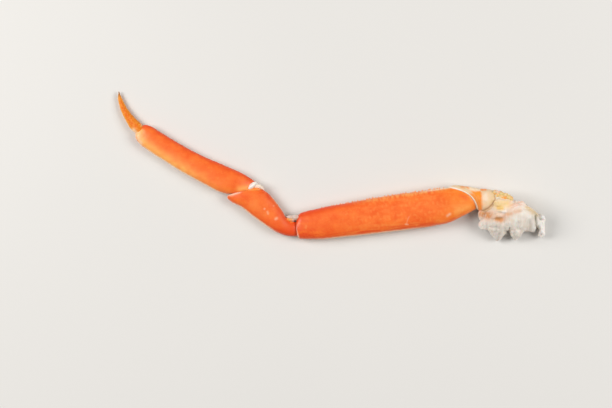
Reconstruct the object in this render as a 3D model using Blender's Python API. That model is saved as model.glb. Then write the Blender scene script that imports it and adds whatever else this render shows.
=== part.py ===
"""Cooked snow crab walking leg, laid on its flat side.

Run with: blender --background --python part.py

The leg lies in the XY plane with +Z up, its claw tip at -X and its torn shoulder at +X.
The origin is under the middle of the whole leg, on the surface that it lies on.
Every piece is a closed loft through ribs. A rib is one cross-section, given by where it meets
the piece's upper margin (+Y side) and its lower margin (-Y side), by its thickness in Z, and by
how far its underside is above the surface. Where that is below zero, the piece rests on a flat spot.
"""

import math

import bmesh
import bpy
import numpy as np

MM = 0.001

# Driving dimensions, in millimetres
DACTYL_LENGTH = 28.6
PROPODUS_LENGTH = 81.6
CARPUS_LENGTH = 47.3
MERUS_LENGTH = 115.6
JOINT_CLEARANCE = 0.16  # each piece stops this far short of the cut that it shares with the next
RIM_ROUNDING = 0.5  # a shell's end is drawn in by this much, like the turned edge of the shell
RING_STEP = 3.4  # spacing of the rings along a shell
AROUND = 24  # points in a ring
SMALL_AROUND = 16  # points in a ring of a slender piece
SQUARENESS = 2.3  # 2 is an ellipse, and more is boxier
CENTRING = (0.13, 0.65)  # moves the leg so that the origin is under the middle of its length and width

# Where each piece starts, in plan, and the way it points, in degrees from +X
DACTYL_TIP = (-138.9, 47.9, -61.0)
WRIST = (-124.9, 22.7, -30.1)
ELBOW = (-59.1, -16.1, -33.8)
KNEE = (-22.1, -40.8, 9.6)
HIP = (89.7, -21.9, 0.0)

# How far each joint's cut bulges towards the shoulder, beyond the line between its two margins
ELBOW_BULGE = 3.0
CARPUS_LIP_BULGE = -1.0
KNEE_BULGE = -0.6
SUTURE_BULGE = 2.3
BAND_BULGE = 1.5
COXA_BULGE = 3.7

# The torn meat of the shoulder
SHOULDER_LEAN = 0.3  # its upper margin is thicker than its middle by this share
FLAP_STATIONS = (0.0, 0.3, 0.55, 0.75, 0.9, 1.0)  # where a flap has its ribs, as shares of its length
FLAP_TAPER = 1.6  # 1 is a straight-sided flap, and more keeps it wide for longer
FLAP_ROUNDING = 0.9  # how nearly a flap's tip closes to a point

# Surface colours, sRGB, and roughness
SHELL_ORANGE = ("cooked_shell", "#F5712F", 0.38)
CLAW_AMBER = ("claw_amber", "#F08A2E", 0.35)
HORN_CREAM = ("cream_cuticle", "#F1DDB8", 0.45)
SKIN_PALE = ("joint_membrane", "#DCCFC4", 0.35)
MEAT_IVORY = ("shoulder_meat", "#E8DACB", 0.45)


def linear(hex_colour):
    """An sRGB hex colour as linear RGBA."""
    channels = [int(hex_colour[i : i + 2], 16) / 255 for i in (1, 3, 5)]
    return [((c + 0.055) / 1.055) ** 2.4 if c > 0.04045 else c / 12.92 for c in channels] + [1.0]


def material(finish):
    """The Principled material of a finish, made once and shared."""
    name, colour, roughness = finish
    found = bpy.data.materials.get(name)
    if found:
        return found
    made = bpy.data.materials.new(name)
    made.use_nodes = True
    shader = made.node_tree.nodes["Principled BSDF"]
    shader.inputs["Base Color"].default_value = linear(colour)
    shader.inputs["Roughness"].default_value = roughness
    shader.inputs["Metallic"].default_value = 0.0
    return made


def smooth_ribs(ribs):
    """The ribs read at even places about RING_STEP apart. One cubic curve runs through them in
    every column at once."""
    ribs = np.array(ribs, float)
    upper_steps = np.linalg.norm(np.diff(ribs[:, 0:2], axis=0), axis=1)
    lower_steps = np.linalg.norm(np.diff(ribs[:, 2:4], axis=0), axis=1)
    knots = np.concatenate([[0.0], np.cumsum((upper_steps + lower_steps) / 2)])
    longer_edge = max(upper_steps.sum(), lower_steps.sum())
    count = max(4, round(longer_edge / RING_STEP) + 1)
    slopes = np.gradient(ribs, knots, axis=0)
    at = np.linspace(0.0, knots[-1], count)
    span = np.clip(np.searchsorted(knots, at, side="right") - 1, 0, len(knots) - 2)
    width = (knots[span + 1] - knots[span])[:, None]
    u = (at - knots[span])[:, None] / width
    from_ribs = (2 * u**3 - 3 * u**2 + 1) * ribs[span] + (3 * u**2 - 2 * u**3) * ribs[span + 1]
    from_slopes = (u**3 - 2 * u**2 + u) * slopes[span] + (u**3 - u**2) * slopes[span + 1]
    return from_ribs + from_slopes * width


def ring_points(rib, bulge, skew, lean, around, inset=0.0):
    """One cross-section as points: a rounded box between the two margins, drawn in all round by
    inset. In plan it is bowed by bulge, more on the lower side where skew is above 0. Lean makes
    the upper margin thicker. Nothing goes under the surface that the leg lies on."""
    upper, lower, thickness, lift = rib[0:2], rib[2:4], rib[4], rib[5]
    half = (upper - lower) / 2
    half_width = np.linalg.norm(half)
    across = half / half_width
    forward = np.array([across[1], -across[0]])
    angle = np.linspace(0.0, 2 * math.pi, around, endpoint=False)
    power = 2 / SQUARENESS
    c = np.sign(np.cos(angle)) * np.abs(np.cos(angle)) ** power
    s = np.sign(np.sin(angle)) * np.abs(np.sin(angle)) ** power
    bow = bulge * (1 - c**2) * (1 - skew * c)
    plan = (upper + lower) / 2 + np.outer(c * (half_width - inset), across) + np.outer(bow, forward)
    z = lift + (thickness / 2 + (thickness / 2 - inset) * s) * (1 + lean * c)
    return np.column_stack([plan, np.maximum(z, 0.0)])


def rounded_end(end, drawn_in, inner):
    """The two rings that close a shell short of its cut: the turned edge, and the full section
    just behind it. Where the ends of a wedge run together, both stay near the cut."""
    step = inner - end
    gap = np.linalg.norm(step, axis=1)[:, None]
    ahead = step / gap
    behind = np.minimum(JOINT_CLEARANCE + RIM_ROUNDING, gap / 2)
    return drawn_in + ahead * JOINT_CLEARANCE, end + ahead * behind


def shell(name, start, ribs, finish, bulges=(0.0, 0.0), skew=0.0, leans=(0.0, 0.0), around=AROUND):
    """A closed piece lofted through its ribs and placed at start, which is (x, y, heading).
    The pairs give a value at its first rib and one at its last, with an even change between."""
    rows = smooth_ribs(ribs)
    share = np.linspace(0.0, 1.0, len(rows))
    bows = bulges[0] + (bulges[1] - bulges[0]) * share
    tilts = leans[0] + (leans[1] - leans[0]) * share
    sections = [(row, bow, skew, tilt, around) for row, bow, tilt in zip(rows, bows, tilts)]
    rings = [ring_points(*section) for section in sections]
    first = rounded_end(rings[0], ring_points(*sections[0], inset=RIM_ROUNDING), rings[1])
    last = rounded_end(rings[-1], ring_points(*sections[-1], inset=RIM_ROUNDING), rings[-2])
    return loft(name, start, [*first, *rings[1:-1], *last[::-1]], finish)


def loft(name, start, rings, finish):
    """Skins the rings with quads, closes each end with a fan, and makes the object."""
    bm = bmesh.new()
    loops = [[bm.verts.new(point * MM) for point in ring] for ring in rings]
    for one, two in zip(loops, loops[1:]):
        for k in range(len(one)):
            after = (k + 1) % len(one)
            bm.faces.new((one[k], one[after], two[after], two[k]))
    for ring, loop in ((rings[0], loops[0]), (rings[-1], loops[-1])):
        centre = bm.verts.new(ring.mean(axis=0) * MM)
        for k in range(len(loop)):
            bm.faces.new((loop[k], loop[(k + 1) % len(loop)], centre))
    bmesh.ops.triangulate(bm, faces=bm.faces[:])
    bmesh.ops.recalc_face_normals(bm, faces=bm.faces[:])
    mesh = bpy.data.meshes.new(name)
    bm.to_mesh(mesh)
    bm.free()
    mesh.shade_smooth()
    mesh.set_sharp_from_angle(angle=math.radians(40))
    mesh.materials.append(material(finish))
    made = bpy.data.objects.new(name, mesh)
    bpy.context.scene.collection.objects.link(made)
    x, y, heading = start
    made.location = (x * MM, y * MM, 0.0)
    made.rotation_euler = (0.0, 0.0, math.radians(heading))
    made.parent = bpy.data.objects["leg"]
    return made


# Each rib below is (upper x, upper y, lower x, lower y, thickness, lift), in its piece's own axes.


def build_dactyl():
    """The curved claw: a slender horn that tapers to a blunt point."""
    ribs = [
        (0.2, 0.5, 0.0, -0.35, 1.0, 1.5),
        (3.0, 0.0, 3.2, -2.2, 1.9, 1.2),
        (8.0, -0.4, 7.8, -3.8, 3.0, 0.8),
        (13.8, -0.2, 13.0, -4.7, 4.0, 0.6),
        (20.0, 1.1, 19.5, -4.9, 4.9, 0.5),
        (24.2, 2.4, 25.0, -4.7, 5.5, 0.6),
        (DACTYL_LENGTH - 1.9, 3.4, DACTYL_LENGTH + 0.6, -3.5, 5.5, 0.8),
    ]
    shell("dactyl", DACTYL_TIP, ribs, CLAW_AMBER, around=SMALL_AROUND)


def build_propodus():
    """The long narrow segment that carries the claw. It widens slowly towards the elbow."""
    ribs = [
        (0.0, 3.9, -1.4, -3.5, 5.8, 0.8),
        (1.6, 5.1, 0.2, -5.6, 6.8, 0.5),
        (4.6, 5.9, 3.4, -7.2, 7.6, 0.3),
        (12.0, 5.7, 11.0, -8.5, 8.2, 0.0),
        (28.0, 5.4, 27.0, -9.5, 8.8, -0.2),
        (44.0, 6.1, 43.0, -9.7, 9.2, -0.2),
        (60.0, 8.0, 56.0, -9.3, 9.6, 0.0),
        (72.0, 9.2, 64.0, -8.9, 9.4, 0.3),
        (PROPODUS_LENGTH, 8.9, PROPODUS_LENGTH - 12.8, -7.9, 8.6, 0.7),
    ]
    shell("propodus", WRIST, ribs, SHELL_ORANGE, bulges=(0.0, ELBOW_BULGE), skew=-0.5)


def build_elbow_hinge():
    """The pale horny knuckle that shows on the upper side between propodus and carpus."""
    ribs = [
        (4.7, 9.9, 4.6, 4.0, 6.0, 1.5),
        (6.5, 9.8, 6.6, 5.6, 6.2, 1.4),
        (9.2, 9.4, 9.0, 7.0, 5.2, 2.0),
        (11.7, 8.8, 11.2, 8.0, 3.4, 2.9),
    ]
    shell("elbow_hinge", ELBOW, ribs, HORN_CREAM, around=SMALL_AROUND)


def build_carpus():
    """The short segment between elbow and knee: cut slantwise where it takes the propodus, with
    a narrow neck that goes into the merus."""
    ribs = [
        (11.9, 8.2, -5.6, -8.2, 8.6, 0.6),
        (14.5, 8.3, -2.2, -9.3, 9.4, 0.3),
        (18.5, 7.5, 6.0, -9.1, 9.8, 0.0),
        (24.0, 5.8, 16.0, -9.9, 10.0, -0.2),
        (29.6, 3.8, 27.0, -10.2, 9.6, 0.1),
        (34.4, 1.3, 35.5, -9.6, 9.0, 0.5),
        (37.4, 1.0, 41.6, -7.9, 8.2, 0.8),
        (41.0, 2.8, CARPUS_LENGTH, -4.4, 7.4, 1.2),
    ]
    shell("carpus", ELBOW, ribs, SHELL_ORANGE, bulges=(CARPUS_LIP_BULGE, KNEE_BULGE))


def build_knee_membrane():
    """The soft skin in the corner of the knee, stretched from the carpus's neck to the merus's rim."""
    ribs = [
        (34.8, 2.2, 35.6, 1.7, 2.4, 3.4),
        (36.1, 2.9, 37.0, 1.9, 4.2, 2.6),
        (37.4, 4.6, 38.8, 2.5, 5.6, 2.0),
        (38.6, 6.7, 40.6, 3.4, 6.4, 1.7),
    ]
    shell("knee_membrane", ELBOW, ribs, SKIN_PALE, around=SMALL_AROUND)


def build_merus():
    """The big flat segment, with most of the meat. Both margins run nearly straight, and the end
    towards the shoulder is cut slantwise."""
    ribs = [
        (0.1, 8.3, -0.1, -6.8, 9.2, 0.8),
        (6.5, 9.6, 5.0, -8.0, 10.2, 0.5),
        (14.0, 10.2, 12.0, -9.4, 11.0, 0.2),
        (30.0, 10.6, 30.0, -10.9, 11.8, 0.0),
        (50.0, 10.8, 50.0, -12.0, 12.4, -0.2),
        (70.0, 10.6, 71.0, -13.0, 12.8, -0.2),
        (84.0, 10.1, 88.0, -13.3, 12.8, 0.0),
        (92.0, 10.0, 99.0, -12.7, 12.6, 0.2),
        (97.0, 9.8, 108.0, -9.9, 12.2, 0.5),
        (100.8, 9.6, MERUS_LENGTH, -7.4, 11.8, 0.8),
    ]
    shell("merus", KNEE, ribs, SHELL_ORANGE, bulges=(KNEE_BULGE, SUTURE_BULGE), skew=1.0)


def build_suture_band():
    """The pale band of thin cuticle round the merus's slanting end, broad at the upper margin."""
    ribs = [
        (-13.9, 7.5, 4.2, -6.3, 12.0, 0.8),
        (-10.8, 8.9, 4.6, -6.7, 12.3, 0.7),
        (-7.4, 8.8, 5.0, -7.0, 12.5, 0.7),
        (-4.2, 8.4, 5.4, -7.2, 12.6, 0.7),
    ]
    shell("suture_band", HIP, ribs, HORN_CREAM, bulges=(SUTURE_BULGE, BAND_BULGE), skew=1.0)


def build_ischium():
    """The wedge between suture and coxa, broad at the upper margin and narrow at the lower."""
    ribs = [
        (-4.2, 8.4, 5.4, -7.2, 12.6, 0.7),
        (-0.8, 8.1, 5.9, -7.5, 12.9, 0.7),
        (2.8, 7.3, 6.4, -7.9, 13.3, 0.7),
        (6.4, 6.6, 6.9, -8.2, 13.8, 0.7),
    ]
    shell("ischium", HIP, ribs, SHELL_ORANGE, bulges=(BAND_BULGE, 0.0), skew=1.0)


def build_coxa():
    """The thick cream collar that the leg swung from, bulging into the shoulder."""
    ribs = [
        (6.4, 6.6, 6.9, -8.2, 13.8, 0.7),
        (9.3, 6.6, 7.5, -8.7, 15.0, 0.4),
        (12.1, 6.2, 8.2, -9.0, 15.6, 0.2),
        (14.7, 5.8, 8.9, -9.2, 16.0, 0.2),
    ]
    shell("coxa", HIP, ribs, HORN_CREAM, bulges=(0.0, COXA_BULGE))


def build_shoulder():
    """The torn-off body meat: a thick lump along the upper margin, with ragged flaps that hang
    from its lower margin and a lobe torn half loose at its far end."""
    ribs = [
        (14.7, 5.8, 8.9, -9.2, 16.0, 0.2),
        (17.4, 5.6, 8.4, -12.6, 18.0, 0.0),
        (20.4, 4.3, 9.6, -16.6, 20.4, -0.2),
        (24.0, 2.6, 16.0, -20.4, 22.0, -0.4),
        (29.0, -1.0, 24.6, -21.4, 22.4, -0.4),
        (35.6, -3.6, 34.0, -21.6, 20.8, -0.3),
        (41.4, -7.4, 42.0, -21.2, 16.4, 0.0),
        (44.6, -11.0, 45.2, -19.0, 9.0, 1.6),
    ]
    core = shell("shoulder", HIP, ribs, MEAT_IVORY, bulges=(COXA_BULGE, 0.0), leans=(0.0, SHOULDER_LEAN))
    # Each flap: its root and its tip (x, y, height), then width, thickness, and the share left at the tip
    flaps = [
        ("left_lobe", (14.0, -13.0, 9.0), (7.2, -18.8, 5.0), 9.5, 12.0, 0.7),
        ("left_flap", (18.0, -13.5, 9.0), (18.2, -27.2, 2.6), 16.5, 13.0, 0.12),
        ("middle_flap", (29.6, -14.5, 8.0), (30.1, -26.7, 2.8), 12.6, 12.0, 0.16),
        ("small_flap", (24.0, -15.0, 6.5), (23.7, -23.4, 4.4), 3.6, 6.0, 0.4),
        ("far_lobe", (44.6, -12.0, 7.5), (47.2, -25.0, 3.2), 8.0, 10.0, 0.6),
        ("far_knob", (40.5, -13.4, 6.8), (49.0, -13.8, 5.2), 8.2, 11.0, 0.75),
    ]
    for name, root, tip, width, thickness, tip_share in flaps:
        joined = core.modifiers.new(name, "BOOLEAN")
        joined.operation = "UNION"
        joined.solver = "EXACT"
        joined.object = build_flap(name, root, tip, width, thickness, tip_share)


def build_flap(name, root, tip, width, thickness, tip_share):
    """A helper lump for the shoulder: a tongue from root to tip. With t from 0 at the root to 1 at
    the tip, its width and its thickness fall off as 1 - (1 - tip_share) t^FLAP_TAPER, and its last
    quarter is rounded off by sqrt(1 - FLAP_ROUNDING t^8)."""
    length = math.dist(root[:2], tip[:2])
    heading = math.degrees(math.atan2(tip[1] - root[1], tip[0] - root[0]))
    ribs = []
    for t in FLAP_STATIONS:
        share = (1 - (1 - tip_share) * t**FLAP_TAPER) * math.sqrt(1 - FLAP_ROUNDING * t**8)
        half_width = width * share / 2
        underside = root[2] + (tip[2] - root[2]) * t - thickness * share / 2
        ribs.append((length * t, half_width, length * t, -half_width, thickness * share, underside))
    start = (HIP[0] + root[0], HIP[1] + root[1], heading)
    flap = shell(name, start, ribs, MEAT_IVORY, around=SMALL_AROUND)
    flap.hide_render = True
    flap.display_type = "WIRE"
    return flap


def build():
    """Clears the scene and makes the whole leg under one empty."""
    for obj in list(bpy.data.objects):
        bpy.data.objects.remove(obj, do_unlink=True)
    leg = bpy.data.objects.new("leg", None)
    leg.location = (CENTRING[0] * MM, CENTRING[1] * MM, 0.0)
    bpy.context.scene.collection.objects.link(leg)
    build_dactyl()
    build_propodus()
    build_elbow_hinge()
    build_carpus()
    build_knee_membrane()
    build_merus()
    build_suture_band()
    build_ischium()
    build_coxa()
    build_shoulder()


build()
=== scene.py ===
# %% [markdown]
# # A cooked snow crab leg
# The frame that the first cell loads is the engineering model of one walking leg, laid on its
# flat side: ten closed solids with plain facets. This lesson gives each of them its looks. A crab's
# leg is a row of hard tubes. Each tube's far end has a turned lip, and the next tube's end is
# tucked into it, with soft skin between. At the shoulder the leg was pulled out of the body, so
# that end is torn meat and skin.

import bpy
import numpy as np
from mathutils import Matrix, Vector


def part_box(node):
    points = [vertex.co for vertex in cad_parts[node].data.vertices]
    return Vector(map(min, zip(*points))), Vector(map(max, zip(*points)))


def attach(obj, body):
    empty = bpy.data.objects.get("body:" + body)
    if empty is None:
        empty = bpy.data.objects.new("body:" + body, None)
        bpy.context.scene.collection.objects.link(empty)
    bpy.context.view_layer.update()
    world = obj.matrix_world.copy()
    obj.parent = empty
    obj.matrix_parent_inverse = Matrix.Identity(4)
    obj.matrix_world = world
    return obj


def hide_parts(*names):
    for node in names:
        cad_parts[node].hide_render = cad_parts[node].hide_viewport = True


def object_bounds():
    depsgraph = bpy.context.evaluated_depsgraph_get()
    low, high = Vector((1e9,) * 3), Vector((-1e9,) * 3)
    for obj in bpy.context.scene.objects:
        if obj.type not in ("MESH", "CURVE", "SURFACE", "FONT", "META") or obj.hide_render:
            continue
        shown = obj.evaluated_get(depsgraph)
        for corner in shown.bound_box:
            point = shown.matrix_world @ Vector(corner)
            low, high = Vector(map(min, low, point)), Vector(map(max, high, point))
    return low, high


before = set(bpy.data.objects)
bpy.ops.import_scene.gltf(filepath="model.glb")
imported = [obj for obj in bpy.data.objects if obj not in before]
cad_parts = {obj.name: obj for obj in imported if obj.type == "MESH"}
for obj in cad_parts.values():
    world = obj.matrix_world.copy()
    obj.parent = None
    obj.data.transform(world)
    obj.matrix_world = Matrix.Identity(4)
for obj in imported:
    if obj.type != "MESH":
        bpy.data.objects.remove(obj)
cad_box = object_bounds()
print("nodes:", sorted(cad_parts))
print("box in mm:", [round(1000 * (high - low), 1) for low, high in zip(*cad_box)])

# %% [markdown]
# ## Soft random ups and downs
# Nothing grown is quite even. Blender has noise textures, but a shape needs its noise in numpy.
# Plane waves that cross at random give a smooth one with very little code, and the seed makes it
# the same each time. All the shaping is done in millimetres.

# %% Noise, fades and spots
MM = 0.001
WAVES = 20


def swell(points, size, seed):
    """WAVES plane waves, sin(2 pi p.d / length + phase), in random directions d with lengths near
    size. Their sum over the square root of half their number is about 1 high."""
    rng = np.random.default_rng(seed)
    ways = rng.normal(size=(WAVES, 3))
    ways /= np.linalg.norm(ways, axis=1)[:, None] * size * rng.uniform(0.7, 1.6, WAVES)[:, None]
    phases = rng.uniform(0, 2 * np.pi, WAVES)
    waves = (np.sin(2 * np.pi * (points @ way) + phase) for way, phase in zip(ways, phases))
    return sum(waves) / (WAVES / 2) ** 0.5


def fade(value, low, high):
    """0 at low and 1 at high, along 3t^2 - 2t^3 between them."""
    t = np.clip((value - low) / (high - low), 0, 1)
    return t * t * (3 - 2 * t)


def bell(value, reach, middle=0.0):
    """exp(-((value - middle) / reach)^2)."""
    return np.exp(-(((value - middle) / reach) ** 2))


def near(points, path, width):
    """A bell of the distance in plan to a line of straight stretches. A path of one place gives a
    round spot."""
    plan, path = points[..., :2], np.array(path, float)
    best = np.linalg.norm(plan - path[0], axis=-1)
    for start, end in zip(path[:-1], path[1:]):
        way = end - start
        t = np.clip((plan - start) @ way / (way @ way), 0, 1)
        best = np.minimum(best, np.linalg.norm(plan - start - t[..., None] * way, axis=-1))
    return bell(best, width)


def spots(points, *rows):
    """The sum of strength * near over rows of (strength, path, width)."""
    return sum(strength * near(points, path, width) for strength, path, width in rows)


trial = swell(np.random.default_rng(0).uniform(0, 90, (999, 3)), 9, 1)
print("swell goes from", *np.round(np.percentile(trial, [1, 99]), 2))

# %% [markdown]
# ## A tube through ribs
# Each hard segment is drawn as a ship's hull is: a few ribs, and a smooth skin over them. A rib
# says where the section meets the upper margin and the lower margin in plan, how thick it is, and
# how far its underside is above the table. Sculpting could do this too, but ribs keep the sizes
# of the frame and can be read as a drawing. These are the sizes that the frame was built with.

# %% Ribs to rings
SQUARENESS = 2.3  # 2 is an ellipse, and more is boxier


def through(rows, share):
    """Reads a table of rows at shares 0 to 1 of its length, on one cubic (Hermite) curve in each
    column. The length is measured along the two margins."""
    rows = np.array(rows, float)
    steps = np.linalg.norm(np.diff(rows[:, :2], axis=0), axis=1)
    if rows.shape[1] > 5:
        steps = (steps + np.linalg.norm(np.diff(rows[:, 2:4], axis=0), axis=1)) / 2
    knots = np.concatenate([[0.0], np.cumsum(steps)])
    slopes = np.gradient(rows, knots, axis=0)
    at = np.asarray(share, float) * knots[-1]
    span = np.clip(np.searchsorted(knots, at, side="right") - 1, 0, len(knots) - 2)
    width = (knots[span + 1] - knots[span])[:, None]
    u = (at - knots[span])[:, None] / width
    values = (2 * u**3 - 3 * u**2 + 1) * rows[span] + (3 * u**2 - 2 * u**3) * rows[span + 1]
    return values + ((u**3 - 2 * u**2 + u) * slopes[span] + (u**3 - u**2) * slopes[span + 1]) * width


def round_box(around):
    """(c, s) round a boxy ellipse: cos and sin to the power 2 / SQUARENESS, with their signs kept.
    c is 1 at the upper margin and -1 at the lower, and s is 1 on top and -1 underneath."""
    angle = np.linspace(0, 2 * np.pi, around, endpoint=False)
    return [np.sign(f) * np.abs(f) ** (2 / SQUARENESS) for f in (np.cos(angle), np.sin(angle))]


def sections(ribs, share, around, bulges=(0, 0), skew=0, leans=(0, 0), inset=0.0):
    """Rings in plan at middle + c (half width - inset) across + bulge (1 - c^2)(1 - skew c) ahead,
    and in height at lift + (thickness / 2 + (thickness / 2 - inset) s)(1 + lean c)."""
    rows, share = through(ribs, share), np.asarray(share, float)[:, None]
    upper, lower, thick, lift = rows[:, None, 0:2], rows[:, None, 2:4], rows[:, 4:5], rows[:, 5:6]
    half = np.linalg.norm(upper - lower, axis=-1) / 2
    across = (upper - lower) / 2 / half[..., None]
    ahead = np.stack([across[..., 1], -across[..., 0]], -1)
    c, s = round_box(around)
    bow = (bulges[0] + (bulges[1] - bulges[0]) * share) * (1 - c**2) * (1 - skew * c)
    plan = (upper + lower) / 2 + (c * (half - inset))[..., None] * across + bow[..., None] * ahead
    lean = leans[0] + (leans[1] - leans[0]) * share
    z = lift + (thick / 2 + (thick / 2 - inset) * s) * (1 + lean * c)
    return np.concatenate([plan, z[..., None]], -1)


def outward(rings):
    """The direction out of the skin: the step round a ring crossed with the step along the tube."""
    turn = np.roll(rings, -1, axis=1) - np.roll(rings, 1, axis=1)
    way = np.cross(turn, np.gradient(rings, axis=0))
    return way / np.maximum(np.linalg.norm(way, axis=-1, keepdims=True), 1e-9)


# %% [markdown]
# ## Lips and tucks
# The end that takes the next segment has a lip: the wall, about half a millimetre thick, turns
# in, and a hollow lies behind it. The end that goes in is tucked: drawn in a little, then
# narrower and narrower. Both are only a few more rings past the last rib, each given by how far
# ahead it lies and how much smaller it is.

# %% Ends of a segment
LIP = [(0.1, 0.05), (0.2, 0.2), (0.2, 0.4), (0.1, 0.58), (-0.4, 0.66), (-1.6, 0.8), (-2.6, 1.1), (-2.8, 1.9)]
TUCK = [(0.3, 0.05), (0.8, 0.25), (1.4, 0.6), (1.9, 1.0), (2.3, 1.6), (2.5, 2.3)]
SEAM = [(0.15, 0.02), (0.4, 0.07), (0.7, 0.14), (0.9, 0.35), (0.9, 0.9)]
BUTT = [(0.08, 0.02), (0.2, 0.07), (0.35, 0.15), (0.45, 0.4), (0.45, 0.9)]


def segment(ribs, around, step, first, last, neck=(0, 0), neck_length=2.0, **shape):
    """A whole tube as rings, with its ends. neck is how far the skin is drawn in at each end,
    falling off as (1 - fade) over neck_length. Also returns, for each point, the distance in mm from
    the upper margin and the lower margin in plan, from the first cut and from the last, and s."""
    length = max(np.linalg.norm(np.diff(np.array(ribs)[:, k : k + 2], axis=0), axis=1).sum() for k in (0, 2))
    share = np.linspace(0, 1, int(length / step) + 1)
    drawn = neck[0] * (1 - fade(share * length, 0, neck_length))
    drawn = (drawn + neck[1] * (1 - fade((1 - share) * length, 0, neck_length)))[:, None]
    body = sections(ribs, share, around, inset=drawn, **shape)
    rings = [body]
    for end, at, steps, draw in ((0, 0.0, first, neck[0]), (-1, 1.0, last, neck[1])):
        ahead = body[end] - body[3 if end == 0 else -4]
        ahead = ahead / np.linalg.norm(ahead, axis=-1, keepdims=True)
        steps = np.array(steps[::-1] if end == 0 else steps)
        inset = draw + steps[:, 1:2]
        more = sections(ribs, np.full(len(steps), at), around, inset=inset, **shape)
        more = more + steps[:, 0, None, None] * ahead
        rings = [more, *rings] if end == 0 else [*rings, more]
    rings = np.concatenate(rings)
    at_first = len(first)
    between = np.linalg.norm(np.diff(rings, axis=0), axis=-1)
    travel = np.concatenate([np.zeros((1, around)), np.cumsum(between, axis=0)])
    half = np.linalg.norm(rings[:, 0, :2] - rings[:, around // 2, :2], axis=-1)[:, None] / 2
    c, s = round_box(around)
    marks = {
        "upper": half * (1 - c),
        "lower": half * (1 + c),
        "first": travel - travel[at_first],
        "last": travel[at_first + len(share) - 1] - travel,
        "top": np.broadcast_to(s, rings.shape[:2]),
    }
    return rings, marks


# %% [markdown]
# ## Where things go
# The ribs are in each segment's own axes. The frame says where the segment is: the middle of its
# node's box is the middle of the smooth shape's box. Heading is the way that the segment points.

# %% Seats
def seat(ribs, heading, node, **shape):
    """(turn, move) that puts local millimetres into the frame's, by the middle of the node's box."""
    plain = sections(ribs, np.linspace(0, 1, 60), 64, **shape)
    a = np.radians(heading)
    turn = np.array([[np.cos(a), np.sin(a), 0], [-np.sin(a), np.cos(a), 0], [0, 0, 1]])
    box = np.array([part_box(node)[0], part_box(node)[1]]) / MM
    flat = (plain @ turn).reshape(-1, 3)
    move = (box.mean(0) - (flat.min(0) + flat.max(0)) / 2) * (1, 1, 0)
    size, own = box[1] - box[0], np.ptp(flat, axis=0)
    print(f"{node}: at {np.round(move, 2)}, frame {np.round(size, 1)}, smooth {np.round(own, 1)}")
    return turn, move


def placed(rings, spot):
    """Local millimetres in the frame's place, never under the table."""
    moved = rings @ spot[0] + spot[1]
    return np.concatenate([moved[..., :2], np.maximum(moved[..., 2:], 0.0)], -1)


# %% [markdown]
# ## From rings to a mesh
# A stack of rings becomes quads between neighbours, and each end closes to one point. Numbers
# that a finish needs, such as how near a margin a point is, go along as attributes on the points.

# %% Skins and pieces
def skin(rings, **marks):
    """(points, faces, marks) of one stack of rings, or of many alike: (stacks, rings, around, 3)."""
    rings = rings.reshape(-1, *rings.shape[-3:])
    k, n, m = rings.shape[:3]
    at = np.arange(k * n * m).reshape(k, n, m)
    on = np.roll(at, -1, axis=2)
    poles = k * n * m + np.arange(2 * k).reshape(2, k, 1) + np.zeros((1, 1, m), int)
    faces = [
        np.stack([at[:, :-1], on[:, :-1], on[:, 1:], at[:, 1:]], -1).reshape(-1, 4),
        np.stack([on[:, 0], at[:, 0], poles[0]], -1).reshape(-1, 3),
        np.stack([at[:, -1], on[:, -1], poles[1]], -1).reshape(-1, 3),
    ]
    points = np.concatenate([rings.reshape(-1, 3), rings[:, 0].mean(1), rings[:, -1].mean(1)])
    held = {}
    for name, mark in marks.items():
        mark = np.broadcast_to(mark, (k, n, m))
        held[name] = np.concatenate([mark.ravel(), mark[:, 0].mean(1), mark[:, -1].mean(1)])
    return points, faces, held


def joined(name, skins):
    """One mesh from a list of skins, in metres. A skin without some mark has zeros there."""
    shifts = np.cumsum([0] + [len(points) for points, _, _ in skins])
    faces = []
    for (_, own, _), shift in zip(skins, shifts):
        for kind in own:
            faces += (kind + shift).tolist()
    mesh = bpy.data.meshes.new(name)
    mesh.from_pydata(np.concatenate([points for points, _, _ in skins]) * MM, [], faces)
    for mark in sorted({mark for _, _, marks in skins for mark in marks}):
        values = np.concatenate([marks.get(mark, np.zeros(len(points))) for points, _, marks in skins])
        held = mesh.attributes.new(mark, "FLOAT", "POINT")
        held.data.foreach_set("value", values.astype(np.float32))
    return mesh


def piece(name, skins, finish, node):
    """One smooth-shaded object from a list of skins, riding on the leg in place of its node."""
    mesh = joined(name, skins)
    mesh.shade_smooth()
    mesh.materials.append(finish)
    made = bpy.data.objects.new(name, mesh)
    bpy.context.scene.collection.objects.link(made)
    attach(made, "root")
    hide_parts(node)
    print(f"{name}: {sum(len(face.vertices) - 2 for face in mesh.polygons)} triangles")
    return made


# %% [markdown]
# ## Finishes
# A finish is a small graph of nodes. It starts from one colour, and each layer over it is mixed in
# where an attribute of the mesh says so. Painting an image could do the same, but attributes stay
# sharp at any size. Colours are given as they look on a screen, and one function makes them linear.

# %% Nodes and colours
def linear(hex_colour):
    """An sRGB hex colour as linear RGBA: ((c + 0.055) / 1.055)^2.4 for all but the darkest."""
    channels = [int(hex_colour[i : i + 2], 16) / 255 for i in (1, 3, 5)]
    return [((c + 0.055) / 1.055) ** 2.4 if c > 0.04045 else c / 12.92 for c in channels] + [1.0]


def add(tree, kind, links=None, **settings):
    """Adds a node. links gives its inputs by name or number: a number, a colour, or another
    node's output. settings are the node's own properties."""
    made = tree.nodes.new("ShaderNode" + kind)
    for name, value in settings.items():
        setattr(made, name, value)
    for socket, value in (links or {}).items():
        if isinstance(value, bpy.types.NodeSocket):
            tree.links.new(value, made.inputs[socket])
        else:
            made.inputs[socket].default_value = value
    return made


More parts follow.
